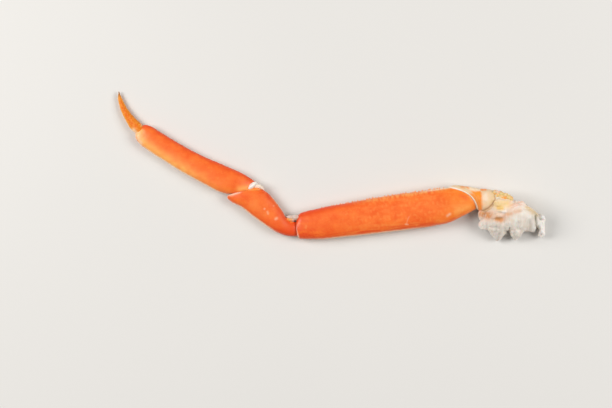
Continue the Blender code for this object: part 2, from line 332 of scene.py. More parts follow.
def layered(tree, colour, layers):
    """Mixes colours over the first one. A layer is (share, colour), and its share is a node's
    output or the name of an attribute of the mesh."""
    for share, over in layers:
        if isinstance(share, str):
            share = add(tree, "Attribute", attribute_name=share).outputs["Fac"]
        mixed = add(tree, "Mix", {0: share, 6: colour, 7: linear(over)}, data_type="RGBA")
        colour = mixed.outputs[2]
    return colour


def new_finish(name, **shader_values):
    """An empty material: its tree, its Principled shader with plain values, the place on the
    object, and itself."""
    made = bpy.data.materials.new(name)
    made.use_nodes = True
    shader = made.node_tree.nodes["Principled BSDF"]
    for socket, value in shader_values.items():
        shader.inputs[socket.replace("_", " ")].default_value = value
    place = add(made.node_tree, "TexCoord").outputs["Object"]
    print("finish:", name)
    return made.node_tree, shader, place, made


def dress(tree, shader, colour, relief, strength, height):
    """Gives the shader its colour, and a node's output as relief, height metres high."""
    tree.links.new(colour, shader.inputs["Base Color"])
    bump = add(tree, "Bump", {"Height": relief.outputs[0], "Strength": strength, "Distance": height})
    tree.links.new(bump.outputs[0], shader.inputs["Normal"])


# %% [markdown]
# ## The shell
# Crab shell is chitin hardened with chalk. Boiling frees its orange pigment, astaxanthin. The outer
# skin is waxy, not varnished, so the gloss is broad. Its colour isn't even: clouds about 8 mm
# across, and pores and tiny warts under a millimetre that are drawn 1.3 mm wide here, because
# finer ones wouldn't show.

# %% Boiled shell
def boiled_shell():
    tree, shader, place, made = new_finish(
        "boiled_chitin_shell", IOR=1.54, Metallic=0.0, Subsurface_Weight=0.06,
        Subsurface_Scale=0.0006, Specular_IOR_Level=0.45,
    )
    clouds = add(tree, "TexNoise", {"Vector": place, "Scale": 1 / 0.008, "Detail": 4.0, "Roughness": 0.6})
    cloud = clouds.outputs[0]
    share = add(tree, "MapRange", {"Value": cloud, "From Min": 0.35, "From Max": 0.68})
    # light specks: pigment is thin over each pore
    pores = add(tree, "TexVoronoi", {"Vector": place, "Scale": 1 / 0.0013, "Randomness": 1.0})
    pore = pores.outputs["Distance"]
    speck = add(tree, "MapRange", {"Value": pore, "From Min": 0.32, "From Max": 0.12, "To Max": 0.2})
    colour = layered(tree, linear("#F2601A"), [
        (share.outputs[0], "#FB7926"), (speck.outputs[0], "#FF9A4A"),
        ("gold", "#FC9420"), ("amber", "#FFAE58"), ("red", "#E84A12"),
        ("pale", "#F2CFA2"), ("cream", "#FBE0BC"), ("white", "#F6E9DC"),
    ])
    rough = {"From Min": 0.3, "From Max": 0.7, "To Min": 0.36, "To Max": 0.5}
    wax = add(tree, "MapRange", {"Value": cloud, **rough})
    tree.links.new(wax.outputs[0], shader.inputs["Roughness"])
    # warts and pores over a finer grain
    grain = add(tree, "TexNoise", {"Vector": place, "Scale": 1 / 0.0011, "Detail": 3.0, "Roughness": 0.6})
    relief = add(tree, "Math", {0: pore, 1: grain.outputs[0]}, operation="SUBTRACT")
    dress(tree, shader, colour, relief, strength=0.5, height=0.00009)
    return made


SHELL = boiled_shell()

# %% [markdown]
# ## The segments
# All four orange segments share the finish, and differ in ribs and in where the pigment is thick.
# Seen from above it is thick along the upper margin and thin along the lower one, where a cream
# line shows. The underside has little pigment, as on all crabs.


# %% Marks that every segment has
WART = 0.07  # mm


def shell_marks(rings, m, seed):
    """Pale below, as a fade of -s. Cream falls off from the lower margin as exp(-(mm / reach)^3),
    less so underneath. Noise breaks both up."""
    mottle = swell(rings, 6, seed)
    fine = swell(rings, 1.7, seed + 1)
    line = np.exp(-((m["lower"] / (0.7 + 0.05 * fine)) ** 3))
    return {
        "pale": fade(-m["top"] + 0.07 * mottle, 0.05, 0.85) * (0.86 + 0.06 * mottle),
        "cream": line * (0.3 + 0.7 * fade(m["top"], -0.9, 0.2)),
        **{name: np.zeros(rings.shape[:2]) for name in ("gold", "white")},
    }


def uneven(rings, m, seed):
    """Heights in mm: long swells 0.05 high, short ones 0.01, and warts along both margins."""
    height = 0.05 * swell(rings, 16, seed) + 0.01 * swell(rings, 2.6, seed + 1)
    edge = bell(m["upper"], 0.9) + bell(m["lower"], 0.9)
    warts = np.clip(swell(rings, 1.6, seed + 2), 0, 2)
    inside = fade(np.minimum(m["first"], m["last"]), -0.1, 1.2)
    return (height + WART * edge * warts) * inside


# %% [markdown]
# ### Merus
# The long flat segment with most of the meat. Rows of tiny spines run along its upper margin, with
# cream tips, and finer teeth along its lower margin.

# %% Merus
MERUS_RIBS = [
    (0.1, 4.4, -0.1, -6.7, 8.8, 0.9),
    (1.3, 7.0, 0.8, -7.1, 9.2, 0.7),
    (3.0, 8.8, 2.2, -7.4, 9.7, 0.6),
    (6.5, 9.6, 5.0, -8.0, 10.2, 0.5),
    (14.0, 10.2, 12.0, -9.4, 11.0, 0.2),
    (30.0, 10.6, 30.0, -10.9, 11.8, 0.0),
    (50.0, 10.8, 50.0, -12.0, 12.4, -0.2),
    (70.0, 10.6, 71.0, -13.0, 12.8, -0.2),
    (84.0, 10.1, 88.0, -13.3, 12.8, 0.0),
    (92.0, 10.0, 99.0, -12.7, 12.6, 0.2),
    (97.0, 9.8, 108.0, -9.9, 12.2, 0.5),
    (100.8, 9.6, 115.6, -7.4, 11.8, 0.8),
]
merus_shape = {"bulges": (-0.6, 3.6), "skew": 0.3}
knee = seat(MERUS_RIBS, 9.6, "merus", **merus_shape)
merus, m = segment(MERUS_RIBS, around=144, step=0.34, first=LIP, last=SEAM, **merus_shape)
marks = shell_marks(merus, m, 11)
x, y = merus[..., 0], merus[..., 1]
upper, lower, first = m["upper"], m["lower"], m["first"]
top = fade(m["top"], -0.1, 0.5)
broken = swell(merus * (0.4, 1, 1), 3.5, 5)  # longer than wide
streaked = fade(swell(merus * (0.15, 1, 1), 1.6, 10), -1.2, 1.0)
toothed = fade(swell(merus * (1, 0.2, 0.2), 1.4, 13), -1.3, 0.9)  # wider than long
speckled = fade(swell(merus, 1.5, 12), 0.2, 1.4)

# red: in from the lower margin, at the knee end, along the upper margin from there, and as specks
red = 0.85 * bell(lower, 1.3, 2.3) * fade(x, 8, 30) * (1 - fade(x, 76, 94)) * streaked * top
red += bell(first, 17) * (0.55 + 0.35 * fade(-y, 0, 6)) * fade(broken, -2.2, 1.0) * top
red += bell(upper, 2.6) * (1 - fade(x, 20, 60)) + 0.3 * near(merus, [(108, 3), (111, 1)], 1.2)
red += 0.55 * bell(first, 18) * fade(-y, -1, 6) * speckled * top
red += 0.6 * bell(lower, 1.3, 0.6) * fade(x, 70, 86) * (1 - fade(x, 106, 114)) * streaked
marks["red"] = red
marks["gold"] = 0.5 * fade(x, 88, 110) * top * (1 - red)

# amber: under the spines, near the band, on a spot by the lip, and as a mottle
amber = 0.85 * bell(upper, 1.9) * fade(x, 25, 60) * toothed
amber += 0.4 * near(merus, [(104, -6.2), (112, -5.0)], 2.2) * top
amber += 0.5 * bell(upper, 1.2) * fade(x, 88, 98) + 0.6 * near(merus, [(5.3, -0.8), (5.9, 0.4)], 0.8)
mottle = 0.12 * fade(broken, 0.3, 1.6) + 0.16 * fade(swell(merus, 2.4, 14), 0.2, 1.8)
marks["amber"] = amber + mottle * top * fade(x, 10, 50)

# cream: the lower line, the upper margin's far end, a pale spot, a scratch and the lip
cream = marks["cream"] * (0.9 * fade(x, 0, 22) * (1 - 0.9 * fade(x, 66, 86)))
cream += bell(upper, 0.8) * fade(x, 80, 92) * fade(m["top"], -0.5, 0.1)
cream += 0.45 * near(merus, [(97.2, -8.2), (98.8, -7.4)], 0.8)
scratch = (0.22, [(72.6, -4.6), (71.0, -7.0), (70.3, -8.9)], 0.3)
cream += spots(merus, scratch, (0.4, [(69.4, -9.1), (71.1, -9.6)], 0.38)) * top
marks["cream"] = cream + 0.55 * bell(first, 0.7) * fade(-y, 0, 6)
marks["white"] = 0.25 * bell(first, 0.42) * fade(swell(merus, 3, 7), -2.5, 0)
merus = merus + outward(merus) * uneven(merus, m, 21)[..., None]

# %% [markdown]
# Each spine is a little cone of five rings with seven points each. Two hundred of them would be slow
# to place by hand, so their roots are read off the skin itself, along one column of its points.


# %% Spines along a margin
CONE = np.array([-0.4, 0.0, 0.35, 0.7, 0.93])  # where a cone's rings are, as shares of its height
GIRTH = 0.62  # a cone's radius over its height


def spines(rings, m, column, low, high, gap, tall, seed):
    """Cones on one column of the rings, from low to high mm along x, gap mm apart on average. A
    cone's ring at t has radius GIRTH (1 - t)^0.8 of its height, and it leans out along the skin's
    own normal. The first 30 mm rise to full height as 0.55 + 0.45 fade."""
    rng = np.random.default_rng(seed)
    count = int((high - low) / gap)
    at = low + (np.arange(count) + rng.uniform(-0.35, 0.35, count)) * gap
    line, way = rings[:, column], outward(rings)[:, column]
    ok = (m["first"][:, column] > 0) & (m["last"][:, column] > 0)
    row = np.interp(at, line[ok, 0], np.flatnonzero(ok)).astype(int)
    tall = tall * rng.uniform(0.6, 1.15, count) * (0.55 + 0.45 * fade(at, low, low + 30))
    tall = tall[:, None, None, None]
    t = CONE[None, :, None, None]
    angle = np.linspace(0, 2 * np.pi, 7, endpoint=False)[None, None, :, None]
    out = way[row][:, None, None, :] + (0.15, 0, 0.0)
    side = np.cross(out, (0, 0, 1.0))
    up = np.cross(side, out)
    circle = (np.cos(angle) * side + np.sin(angle) * up) * (1 - np.maximum(t, 0)) ** 0.8
    cones = line[row][:, None, None, :] + out * t * tall - circle * tall * GIRTH
    return cones, np.broadcast_to(t[..., 0], cones.shape[:3])


# (column, from x, to x, gap, height, seed). Column 0 is the upper margin, and 72 is the lower.
UPPER_ROWS = [(0, 18, 101, 2.0, 1.05, 1), (5, 22, 98, 2.2, 0.56, 2), (138, 22, 98, 2.6, 0.42, 3)]
LOWER_ROWS = [(72, 5, 104, 1.6, 0.34, 4), (67, 10, 96, 2.2, 0.26, 5)]
skins = [skin(placed(merus, knee), **marks)]
for row in UPPER_ROWS:
    cones, t = spines(merus, m, *row)
    tips = fade(t, 0.2, 0.8) * (0.35 + 0.5 * fade(cones[..., 0], 76, 96))
    skins.append(skin(placed(cones, knee), cream=tips, amber=0.35))
for row in LOWER_ROWS:
    cones, t = spines(merus, m, *row)
    skins.append(skin(placed(cones, knee), cream=0.65 + 0.35 * fade(t, 0.0, 0.7)))
piece("merus_shell", skins, SHELL, "merus")

# %% [markdown]
# ### Propodus
# The long narrow segment that carries the claw. Its lower half is pale yellow near the claw, where
# the pigment is thin.

# %% Propodus
PROPODUS_RIBS = [
    (0.0, 3.9, -1.4, -3.5, 5.8, 0.8),
    (1.6, 5.1, 0.2, -5.6, 6.8, 0.5),
    (4.6, 5.9, 3.4, -7.2, 7.6, 0.3),
    (12.0, 5.7, 11.0, -8.5, 8.2, 0.0),
    (28.0, 5.4, 27.0, -9.5, 8.8, -0.2),
    (44.0, 6.1, 43.0, -9.7, 9.2, -0.2),
    (60.0, 8.0, 56.0, -9.3, 9.6, 0.0),
    (72.0, 9.2, 64.0, -8.9, 9.4, 0.3),
    (81.6, 8.9, 68.8, -7.9, 7.6, 0.8),
]
propodus_shape = {"bulges": (1.3, 3.0), "skew": -0.5}
wrist = seat(PROPODUS_RIBS, -30.1, "propodus", **propodus_shape)
propodus, m = segment(
    PROPODUS_RIBS, around=120, step=0.34, first=LIP, last=TUCK, neck=(0, 0.3), **propodus_shape
)
marks = shell_marks(propodus, m, 31)
x, y = propodus[..., 0], propodus[..., 1]
top = fade(m["top"], -0.1, 0.5)
broken = swell(propodus, 4, 35)
thin = 0.86 * bell(m["lower"], 4.0, 2.0) * (1 - 0.75 * fade(x, 30, 66))
amber = np.clip(thin * (1 + 0.1 * broken), 0, 1) + 0.8 * near(propodus, [(75.5, -0.5), (80.5, 3.5)], 2.0)
marks["amber"] = (amber + 0.5 * bell(m["first"], 2.6) * fade(-y, -3.5, -0.5)) * top
marks["red"] = 0.9 * bell(m["upper"], 1.8 + 0.3 * broken) * (1 - 0.6 * fade(x, 78, 82))
marks["cream"] *= fade(x, 2, 16)
marks["cream"] += 0.5 * near(propodus, [(0.3, -3.8), (2.5, -5.6), (5, -6.6)], 1.2) * top
marks["white"] = 0.35 * bell(m["first"], 0.4) * fade(-y, -1, 3)
propodus = propodus + outward(propodus) * uneven(propodus, m, 41)[..., None]
cones, t = spines(propodus, m, column=60, low=40, high=66, gap=1.4, tall=0.24, seed=6)
skins = [skin(placed(propodus, wrist), **marks), skin(placed(cones, wrist), cream=fade(t, -0.2, 0.4))]
piece("propodus_shell", skins, SHELL, "propodus")

# %% [markdown]
# ### Carpus
# The short segment between elbow and knee. Its slanting end has a pale lip that takes the
# propodus, and its narrow neck, deep red, goes into the merus. A few pale scars show on top.

# %% Carpus
CARPUS_RIBS = [
    (11.9, 8.2, -5.2, -7.5, 8.6, 0.6),
    (12.6, 8.25, -4.9, -8.8, 8.9, 0.5),
    (14.5, 8.3, -2.2, -9.6, 9.4, 0.3),
    (18.5, 7.5, 6.0, -9.1, 9.8, 0.0),
    (24.0, 5.8, 16.0, -9.9, 10.0, -0.2),
    (29.6, 3.8, 27.0, -10.2, 9.6, 0.1),
    (34.4, 1.3, 35.5, -9.6, 9.0, 0.5),
    (37.4, 1.0, 41.6, -7.9, 8.2, 0.8),
    (41.0, 2.8, 47.3, -4.4, 7.4, 1.2),
]
carpus_shape = {"bulges": (-1.0, -0.6)}
elbow = seat(CARPUS_RIBS, -33.8, "carpus", **carpus_shape)
carpus, m = segment(CARPUS_RIBS, around=128, step=0.3, first=LIP, last=TUCK, neck=(0, 0.2), **carpus_shape)
marks = shell_marks(carpus, m, 51)
x, y = carpus[..., 0], carpus[..., 1]
top = fade(m["top"], -0.1, 0.5)
corner = near(carpus, [(35.6, 1.2), (38.6, 1.3)], 0.9)
red = 0.5 * bell(m["upper"], 3.0) + 0.5 * near(carpus, [(16.6, 6.6), (18.2, 5.6)], 1.3)
red += 0.4 * fade(x, 24, 34) + 0.5 * fade(x - y, 38, 47) + 0.4 * bell(m["lower"], 2.4) * top
marks["red"] = np.clip(red, 0, 0.95) * (1 - corner)
marks["amber"] = 0.15 * near(carpus, [(12, -3), (20, -4)], 4.0) + 0.95 * corner
marks["amber"] += 0.8 * bell(m["upper"], 0.5) * fade(x, 14, 20)
marks["cream"] *= 0.9 * fade(x, -4, 8) * (1 - fade(x, 24, 40))
scars = spots(
    carpus, (0.5, [(19.5, -1.5)], 0.55), (0.35, [(22.1, -2.0), (23.2, -2.9)], 0.6),
    (0.42, [(29.2, -2.9), (29.5, -2.2)], 0.85), (0.25, [(23.4, 3.5)], 0.5),
)
marks["cream"] += scars * top
marks["cream"] += 0.8 * near(carpus, [(-4.4, -7.2), (0.5, -2.3)], 0.8) * bell(m["first"], 0.9)
marks["white"] = 0.45 * bell(m["first"], 0.4) * fade(-y, -1, 4)
carpus = carpus + outward(carpus) * uneven(carpus, m, 61)[..., None]
cones, t = spines(carpus, m, column=64, low=0, high=34, gap=1.4, tall=0.24, seed=7)
skins = [skin(placed(carpus, elbow), **marks), skin(placed(cones, elbow), cream=fade(t, -0.2, 0.4))]
piece("carpus_shell", skins, SHELL, "carpus")

# %% [markdown]
# ### Dactyl
# The claw that the crab walks on: a curved horn with grooves along it. Horn is harder and less
# chalky than shell, so it is yellower and a little clearer, darkens along the groove and is brown
# at the tip, and is cream where it leaves the propodus.

# %% Claw horn
def claw_horn():
    tree, shader, place, made = new_finish(
        "claw_horn", IOR=1.54, Metallic=0.0, Roughness=0.6, Subsurface_Weight=0.08,
        Subsurface_Scale=0.0006, Specular_IOR_Level=0.2,
    )
    streaks = add(tree, "TexNoise", {"Vector": place, "Scale": 1 / 0.004, "Detail": 3.0})
    # flecks: paler horn between the pores, drawn about 1 mm wide
    flecks = add(tree, "TexNoise", {"Vector": place, "Scale": 1 / 0.0011, "Detail": 1.0, "Roughness": 0.5})
    share = {"Value": flecks.outputs[0], "From Min": 0.45, "From Max": 0.75, "To Max": 0.6}
    flecked = add(tree, "MapRange", share)
    colour = layered(tree, linear("#DE6C04"), [
        (streaks.outputs[0], "#E67E0C"), ("amber", "#F5AA44"), ("red", "#E4640A"),
        ("brown", "#7A4310"), ("cream", "#F9DCB6"), (flecked.outputs[0], "#F6AE48"),
    ])
    # fine pits, drawn 0.9 mm wide so that they show
    grain = add(tree, "TexNoise", {"Vector": place, "Scale": 1 / 0.0009, "Detail": 2.0})
    dress(tree, shader, colour, grain, strength=0.4, height=0.00005)
    return made


# %% Dactyl
DACTYL_RIBS = [
    (0.2, 0.5, 0.0, -0.35, 1.0, 1.5),
    (3.0, 0.0, 3.2, -2.2, 1.9, 1.2),
    (8.0, -0.4, 7.8, -3.8, 3.0, 0.8),
    (13.8, -0.2, 13.0, -4.7, 4.0, 0.6),
    (20.0, 1.1, 19.5, -4.9, 4.9, 0.5),
    (24.2, 2.4, 25.0, -4.7, 5.5, 0.6),
    (26.7, 3.4, 29.2, -3.5, 6.2, 0.7),
]
claw = seat(DACTYL_RIBS, -61.0, "dactyl")
POINT = [(0.07, 0.04), (0.14, 0.11), (0.18, 0.19)]
dactyl, m = segment(
    DACTYL_RIBS, around=96, step=0.2, first=POINT, last=TUCK, neck=(0.18, 0.25), neck_length=2.4
)
first, last = m["first"], m["last"]
c, s = round_box(96)
faced = np.abs(s) ** 0.5  # 0 at both margins
groove = bell(c, 0.25, -0.25) * faced * fade(first, 1, 6) * fade(last, 0.5, 4)
ridge = bell(c, 0.22, 0.25) * faced * fade(first, 2, 8) * fade(last, 0.5, 4)
marks = {
    "red": 0.75 * bell(c, 0.5, -0.05) * faced * fade(first, 2, 8) * fade(last, -0.5, 4),
    "amber": 0.9 * bell(m["lower"], 0.9) + 0.6 * bell(m["upper"], 0.7) * (1 - 0.6 * fade(first, 8, 16)),
    "brown": 0.85 * (1 - fade(first, 0.6, 4.6)),
    "cream": spots(dactyl, (0.85, [(26.8, -3.5), (28.6, -3.2)], 1.3), (0.8, [(26.4, 3.2)], 0.8)),
}
dactyl = dactyl + outward(dactyl) * (0.08 * ridge - 0.16 * groove + 0.05 * swell(dactyl, 3, 71))[..., None]
piece("dactyl_claw", [skin(placed(dactyl, claw), **marks)], claw_horn(), "dactyl")

# %% [markdown]
# ## The hip
# Behind the merus come three short rings that move as one with it: a pale band of thin cuticle,
# an orange wedge, and the cream collar that the leg swung from. Cuticle without pigment is ivory,
# a little see-through, and pearly where it is thick.

# %% Cuticle without pigment
def bare_cuticle():
    tree, shader, place, made = new_finish(
        "unpigmented_cuticle", IOR=1.54, Metallic=0.0, Roughness=0.42, Subsurface_Weight=0.15,
        Subsurface_Scale=0.001, Subsurface_Radius=(1.0, 0.6, 0.4),
    )
    clouds = add(tree, "TexNoise", {"Vector": place, "Scale": 1 / 0.005, "Detail": 4.0, "Roughness": 0.6})
    # brown is painted shade in the collar's crease. white is the cuticle's own white on band and knuckle,
    # and a painted highlight on the collar
    colour = layered(tree, linear("#EBC28E"), [
        (clouds.outputs[0], "#EFD5B6"), ("olive", "#D9C07A"), ("orange", "#FA9030"),
        ("rosy", "#D7A181"), ("brown", "#A8713F"), ("white", "#FFF6EC"),
    ])
    # a grain of fine creases, drawn 1.2 mm wide so that it shows
    grain = add(tree, "TexNoise", {"Vector": place, "Scale": 1 / 0.0012, "Detail": 3.0})
    dress(tree, shader, colour, grain, strength=0.5, height=0.00008)
    return made


CUTICLE = bare_cuticle()

# %% [markdown]
# ### Suture band
# The band lies across the merus's slanting end. Its front edge is a thick white crest, and behind
# it the colour turns orange. It could be painted on one long tube, but the step between crest and
# merus catches the light, so it is a tube of its own, with the crest raised 0.16 mm.

# %% Suture band
BAND_RIBS = [
    (-13.9, 7.5, 4.2, -6.3, 12.0, 0.8),
    (-10.8, 8.9, 4.6, -6.7, 12.3, 0.7),
    (-7.4, 8.8, 5.0, -7.0, 12.5, 0.7),
    (-4.2, 8.4, 5.4, -7.2, 12.6, 0.7),
]
COXA_RIBS = [
    (6.4, 6.6, 6.9, -8.2, 13.8, 0.7),
    (9.3, 6.6, 7.5, -8.7, 15.0, 0.4),
    (12.1, 6.2, 8.2, -9.0, 15.6, 0.2),
    (14.7, 5.8, 8.9, -9.2, 16.0, 0.2),
]
hip = seat(COXA_RIBS, 0.0, "coxa", bulges=(0.0, 3.7))
band, m = segment(BAND_RIBS, around=144, step=0.12, first=BUTT, last=BUTT, bulges=(3.6, 2.4), skew=0.3)
first, y = m["first"], band[..., 1]
top = fade(m["top"], -0.2, 0.4)
crest = bell(first, 0.55, 0.6) * (0.3 + 0.7 * fade(y, -6.5, -2.0))
behind = fade(first, 0.9 + 0.2 * fade(y, -4, 2), 1.7) * fade(-y + 0.3 * swell(band, 2.6, 83), -4.6, -2.8)
marks = {
    "white": (0.6 + 0.35 * fade(y, -3, 3)) * crest * top * fade(swell(band, 2.5, 80), -3, 0),
    "orange": (0.75 * near(band, [(-4.4, 7.6), (-5.8, 7.9)], 0.9) + 0.95 * behind) * top,
    "olive": 0.25 * fade(first, 1.4, 2.6) * top * fade(swell(band, 3, 81), -1, 1),
}
band = band + outward(band) * (0.16 * crest + 0.05 * swell(band, 2.2, 82))[..., None]
piece("suture_band_rim", [skin(placed(band, hip), **marks)], CUTICLE, "suture_band")

# %% [markdown]
# ### Ischium
# The wedge behind the band is shell again: long at the lower margin, and golden where it is thin.
# It shares the band's last rib and the collar's first, so that all three meet without a gap.

# %% Ischium
ISCHIUM_RIBS = [
    BAND_RIBS[-1],
    (-0.8, 8.1, 5.9, -7.5, 12.9, 0.7),
    (2.8, 7.3, 6.4, -7.9, 13.3, 0.7),
    COXA_RIBS[0],
]
ischium, m = segment(
    ISCHIUM_RIBS, around=144, step=0.12, first=BUTT, last=SEAM, neck=(0.05, 0.3), neck_length=0.7,
    bulges=(2.4, 0.0), skew=0.3,
)
marks = shell_marks(ischium, m, 91)
y = ischium[..., 1]
top = fade(m["top"], -0.1, 0.5)
marks["gold"] = 0.9 * top
marks["amber"] = 0.12 * fade(swell(ischium, 3, 95), -0.5, 1.5) * top
marks["red"] = 0.35 * bell(m["last"], 0.6, 0.3) * fade(-y, -3, 2) * top
cream = fade(y + 0.3 * swell(ischium, 3.0, 96), 4.0, 6.4)
cream *= 1 - 0.9 * near(ischium, [(-3.2, 7.6), (-1.8, 7.0)], 0.9)
marks["cream"] = cream + 0.2 * bell(m["first"], 0.7)
ischium = ischium + outward(ischium) * (0.06 * swell(ischium, 2.2, 97))[..., None]
piece("ischium_shell", [skin(placed(ischium, hip), **marks)], SHELL, "ischium")

# %% [markdown]
# ### Coxa
# The collar is the part that turned in the body's socket. Its ivory cuticle is creased where the
# torn meat begins. The crease is drawn by distance to a path: the skin sinks 0.18 mm there and
# gets painted shade, which is less work than cutting it into the ribs and can follow any line. The
# lit top of the collar's bulge gets a painted highlight.

# %% Coxa
coxa, m = segment(
    COXA_RIBS, around=144, step=0.12, first=BUTT, last=BUTT, neck=(0.0, 0.3), neck_length=1.8,
    bulges=(0.0, 3.7),
)
CREASE = [(15.2, 1.5), (15.3, -0.6), (13.3, -3.5), (11.2, -5.8), (8.6, -7.3), (6.2, -7.8)]
fold = near(coxa, CREASE, 0.5)
spread = swell(coxa, 2.4, 103)
glow = 0.22 * near(coxa, [(7.6, 4), (8.2, -6.0)], 1.3) * fade(spread, -1.5, 0.8)
marks = {
    # brown: painted shade in the crease, and broader painted shade along its lower part
    "brown": 0.5 * fold * fade(m["top"], -0.2, 0.3) + 0.3 * near(coxa, [(8, -7.6), (14, -4)], 1.4),
    "orange": spots(coxa, (1, [(7.0, 6.2), (9.4, 6.0)], 0.8), (0.7, [(6.5, 4), (6.9, -7)], 0.5)) + glow,
    "olive": 0.45 * near(coxa, [(14.2, 4.2), (14.4, 0.0), (12.4, -3.6)], 1.3) * fade(spread, -1.8, 0.6),
    "rosy": 0.8 * fade(-coxa[..., 1] - 0.55 * (coxa[..., 0] - 6), 6.6, 8.0),
    # white: a painted highlight on the lit top of the collar's bulge
    "white": 0.3 * near(coxa, [(9.2, 2.4), (9.5, 0.2)], 1.6),
}
height = -0.18 * fold + 0.05 * swell(coxa, 2.4, 101) + 0.08 * swell(coxa, 5, 102)
coxa = coxa + outward(coxa) * height[..., None]
piece("coxa_collar", [skin(placed(coxa, hip), **marks)], CUTICLE, "coxa")

# %% [markdown]
# ## Lobes
# Most of the knuckle, the skin of the knee and the torn meat have no ribs of their own. They are
# lobes: a rounded section carried along a path, closed at both ends like a sausage, with ridges
# along it.


# %% A lobe along a path
def lobe(rows, around=40, rings=36, ends=(0.35, 0.35), ridges=0, depth=0.0, seed=0, lumps=0.12):
    """rows are (x, y, z, width, thickness) along the path. Near each end the section shrinks as
    sqrt(1 - (1 - t / share)^2). Ridges are depth cos(ridges angle + drift) high, and lumps are
    noise. Returns the rings and the share along the path."""
    t = (1 - np.cos(np.pi * np.linspace(0.02, 0.98, rings))) / 2
    row = through(rows, t)
    closing = 1.0
    for part in (t / ends[0], (1 - t) / ends[1]):
        closing = closing * np.sqrt(1 - (1 - np.minimum(part, 1)) ** 2)
    way = np.gradient(row[:, :3], axis=0)
    side = np.stack([-way[:, 1], way[:, 0], 0 * t], -1)
    side /= np.linalg.norm(side, axis=1)[:, None]
    up = np.cross(way, side)
    up /= np.linalg.norm(up, axis=1)[:, None]
    angle = np.linspace(0, 2 * np.pi, around, endpoint=False)[None, :]
    out = np.cos(angle)[..., None] * side[:, None] * (row[:, 3] * closing / 2)[:, None, None]
    out = out + np.sin(angle)[..., None] * up[:, None] * (row[:, 4] * closing / 2)[:, None, None]
    skin_rings = row[:, None, :3] + out
    drift = 1.3 * swell(np.stack([8 * t, 0 * t, 0 * t + 3 * seed], -1), 6, seed)[:, None]
    height = depth * np.cos(ridges * angle + drift)
    height = height + lumps * swell(skin_rings, 1.9, seed + 7) + lumps * swell(skin_rings, 4.5, seed + 8)
    height = height * closing[:, None] ** 0.5
    unit = out / np.maximum(np.linalg.norm(out, axis=-1, keepdims=True), 1e-9)
    return skin_rings + unit * height[..., None], np.broadcast_to(t[:, None], skin_rings.shape[:2])


# %% [markdown]
# ### The knuckle and the skin of the knee
# At the elbow a white knuckle stands between the two segments: a bar across the propodus's end,
# and a smaller pad on the carpus with a notch between. In the corner of the knee there is soft
# skin, grey-white and wrinkled, stretched from the carpus's neck to the merus's lip.

# %% Elbow knuckle
HINGE_RIBS = [
    (4.7, 9.9, 4.6, 4.0, 6.0, 1.5),
    (6.5, 9.8, 6.6, 5.6, 6.2, 1.4),
    (9.2, 9.4, 9.0, 7.0, 5.2, 2.0),
    (11.7, 8.8, 11.2, 8.0, 3.4, 2.9),
]
BAR = [
    (3.8, 3.0, 5.4, 2.2, 7.2), (4.2, 5.2, 5.6, 3.3, 8.4), (4.9, 7.6, 5.6, 3.3, 8.2),
    (5.5, 10.0, 5.2, 2.4, 6.4),
]
PAD = [
    (6.8, 9.0, 5.3, 2.0, 5.6), (8.6, 8.9, 5.5, 2.6, 6.4), (10.6, 8.7, 5.2, 2.0, 5.6),
    (12.6, 8.3, 4.8, 0.9, 4.0),
]
GUSSET = [
    (2.6, 1.4, 4.6, 2.4, 7.0), (5.6, 3.9, 5.0, 3.6, 8.2), (8.6, 6.2, 5.0, 3.2, 7.8),
    (11.6, 7.8, 4.5, 1.6, 5.4),
]
socket, m = segment(HINGE_RIBS, around=72, step=0.15, first=BUTT, last=BUTT, neck=(0.2, 0.3))
socket = socket + outward(socket) * (0.06 * swell(socket, 1.4, 9))[..., None] + (0, 0, 0.8)
bar, pad = lobe(BAR, seed=3, lumps=0.07)[0], lobe(PAD, seed=4, lumps=0.07)[0]
gusset = lobe(GUSSET, seed=7, lumps=0.05)[0]
skins = [
    skin(placed(gusset, elbow), orange=0.95),
    skin(placed(socket, elbow), orange=0.9 * fade(-socket[..., 1], -8.8, -7.6), white=0.6),
    skin(placed(bar, elbow), white=0.95),
    skin(placed(pad, elbow), white=0.55, orange=0.85 * fade(-pad[..., 1], -8.3, -7.6)),
]
piece("elbow_knuckle", skins, CUTICLE, "elbow_hinge")


# %% [markdown]
# The skin between segments is arthrodial membrane: bare chitin without chalk, so it bends, and
# light goes some way into it. A lobe with nine ridges along it gives the wrinkles, and a fine
# bump the rest. Cloth simulation would wrinkle it too, but this corner is only 10 mm wide.

# %% Joint skin
def joint_skin():
    tree, shader, place, made = new_finish(
        "arthrodial_membrane", IOR=1.45, Metallic=0.0, Roughness=0.34, Subsurface_Weight=0.35,
        Subsurface_Scale=0.0015, Subsurface_Radius=(1.0, 0.55, 0.4),
    )
    clouds = add(tree, "TexNoise", {"Vector": place, "Scale": 1 / 0.002, "Detail": 3.0})
    layers = [(clouds.outputs[0], "#EADFD8"), ("orange", "#F0A04C"), ("brown", "#B98054")]
    colour = layered(tree, linear("#C9A896"), layers)
    # fine wrinkles, drawn 0.8 mm wide so that they show
    wrinkles = add(tree, "TexNoise", {"Vector": place, "Scale": 1 / 0.0008, "Detail": 2.0})
    dress(tree, shader, colour, wrinkles, strength=0.6, height=0.00012)
    return made


